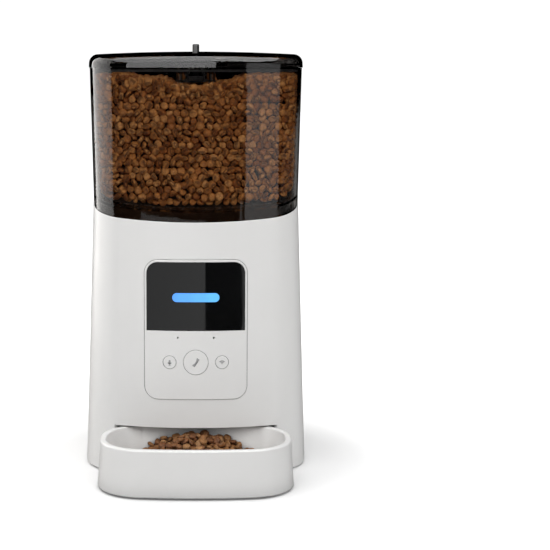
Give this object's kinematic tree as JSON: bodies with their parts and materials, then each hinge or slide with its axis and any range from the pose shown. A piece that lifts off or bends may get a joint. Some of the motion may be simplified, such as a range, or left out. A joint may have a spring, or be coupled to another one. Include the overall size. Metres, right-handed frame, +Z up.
{
  "type": "automatic pet feeder",
  "caption": "Free-standing automatic pet feeder: smoked see-through food tank with a locking lid, tapered white housing with a control panel, portioning rotor, chute and pull-out tray.",
  "frame": {"origin": "on the floor, at the centre of the overall footprint (tray in)", "axes": "+Z up, -Y the front with the tray and panel, +X to the right of someone facing the front"},
  "size_m": [0.2, 0.2546, 0.3707],
  "materials": {
    "white_shell": "fine satin moulded white",
    "white_tray": "smooth semi-gloss white",
    "smoked_clear": "polished smoked clear plastic",
    "black_gloss": "polished black",
    "black_matt": "moulded black",
    "blue_light": "frosted clear, lit from behind",
    "leds": "clear epoxy",
    "grey_frame": "moulded light grey",
    "drive_plastic": "moulded natural",
    "gear_plastic": "moulded acetal",
    "soft_rubber": "soft grey",
    "steel": "plain steel",
    "nickel": "nickel plate",
    "cell_wrap": "printed sleeve, left plain",
    "board_green": "solder mask",
    "components": "black moulded"
  },
  "bodies": {
    "housing": {"body_shell": "white_shell", "base_plate": "grey_frame", "rubber_feet": "soft_rubber", "base_screws": "steel", "chassis": "grey_frame", "battery_box": "grey_frame", "battery_cells": "cell_wrap", "battery_contacts": "nickel", "power_board": "board_green", "power_board_parts": "components", "power_inlet": "steel", "dispenser_cup": "drive_plastic", "cup_screws": "steel", "drop_guard": "drive_plastic", "idler_axle": "steel", "gearbox_case": "drive_plastic", "gearbox_cover": "drive_plastic", "gearbox_screws": "steel", "gear_motor": "steel", "chute": "drive_plastic", "food_sensor": "black_matt", "panel_bezel": "white_shell", "display_window": "black_gloss", "light_guide": "blue_light", "control_board": "board_green", "panel_screws": "steel", "tact_switches": "components", "status_leds": "leds", "microphone": "black_matt", "radio_module": "nickel", "speaker": "components", "speaker_gasket": "soft_rubber"},
    "battery_cover": {"battery_door": "white_shell"},
    "hopper": {"hopper_tank": "smoked_clear", "hopper_funnel": "smoked_clear"},
    "lid": {"lid_shell": "smoked_clear", "lid_seal": "soft_rubber", "latch_guide": "black_matt", "latch_screws": "steel", "desiccant_box": "smoked_clear", "desiccant_cap": "black_matt"},
    "knob": {"lock_knob": "black_gloss", "latch_disc": "black_matt", "knob_screw": "steel"},
    "front_bolt": {"latch_bolt_front": "black_matt"},
    "rear_bolt": {"latch_bolt_rear": "black_matt"},
    "rotor": {"portion_rotor": "gear_plastic", "agitator": "soft_rubber", "rotor_shaft": "steel", "output_gear": "gear_plastic"},
    "idler": {"idler_gear": "gear_plastic"},
    "pinion": {"motor_pinion": "gear_plastic"},
    "tray": {"feeding_tray": "white_tray", "tray_feet": "soft_rubber"},
    "feed_key": {"feed_button": "white_shell"},
    "record_key": {"record_button": "white_shell"},
    "pairing_key": {"pairing_button": "white_shell"}
  },
  "joints": [
    {"name": "hopper_lift", "type": "slide", "parent": "housing", "child": "hopper", "axis": [0, 0, 1], "range_m": [0, 0.15]},
    {"name": "lid_lift", "type": "slide", "parent": "hopper", "child": "lid", "axis": [0, 0, 1], "range_m": [0, 0.08]},
    {"name": "knob_turn", "type": "hinge", "parent": "lid", "child": "knob", "pos_m": [0, 0.0345, 0.36], "axis": [0, 0, 1], "range_deg": [0, 90]},
    {"name": "front_bolt_slide", "type": "slide", "parent": "lid", "child": "front_bolt", "axis": [0, -1, 0], "range_m": [0, 0.007]},
    {"name": "rear_bolt_slide", "type": "slide", "parent": "lid", "child": "rear_bolt", "axis": [0, 1, 0], "range_m": [0, 0.007]},
    {"name": "pinion_turn", "type": "hinge", "parent": "housing", "child": "pinion", "pos_m": [0, 0.0775, 0.09], "axis": [0, 0, 1], "continuous": true},
    {"name": "idler_turn", "type": "hinge", "parent": "housing", "child": "idler", "pos_m": [0, 0.0565, 0.09], "axis": [0, 0, 1], "continuous": true},
    {"name": "rotor_turn", "type": "hinge", "parent": "housing", "child": "rotor", "pos_m": [0, 0.0345, 0.12], "axis": [0, 0, 1], "continuous": true},
    {"name": "tray_pull", "type": "slide", "parent": "housing", "child": "tray", "axis": [0, -1, 0], "range_m": [0, 0.12]},
    {"name": "battery_door_slide", "type": "slide", "parent": "housing", "child": "battery_cover", "axis": [0, 1, 0], "range_m": [0, 0.09]},
    {"name": "feed_press", "type": "slide", "parent": "housing", "child": "feed_key", "axis": [0, 1, 0], "range_m": [0, 0.0008], "stiffness_N_per_m": 1200, "springref_m": -0.0003},
    {"name": "record_press", "type": "slide", "parent": "housing", "child": "record_key", "axis": [0, 1, 0], "range_m": [0, 0.0008], "stiffness_N_per_m": 1200, "springref_m": -0.0003},
    {"name": "pairing_press", "type": "slide", "parent": "housing", "child": "pairing_key", "axis": [0, 1, 0], "range_m": [0, 0.0008], "stiffness_N_per_m": 1200, "springref_m": -0.0003}
  ],
  "couplings": [
    {"joint": "front_bolt_slide", "follows": "knob_turn", "m_per_rad": 0.0044563},
    {"joint": "rear_bolt_slide", "follows": "knob_turn", "m_per_rad": 0.0044563},
    {"joint": "idler_turn", "follows": "pinion_turn", "ratio": -0.4},
    {"joint": "rotor_turn", "follows": "pinion_turn", "ratio": 0.15}
  ]
}
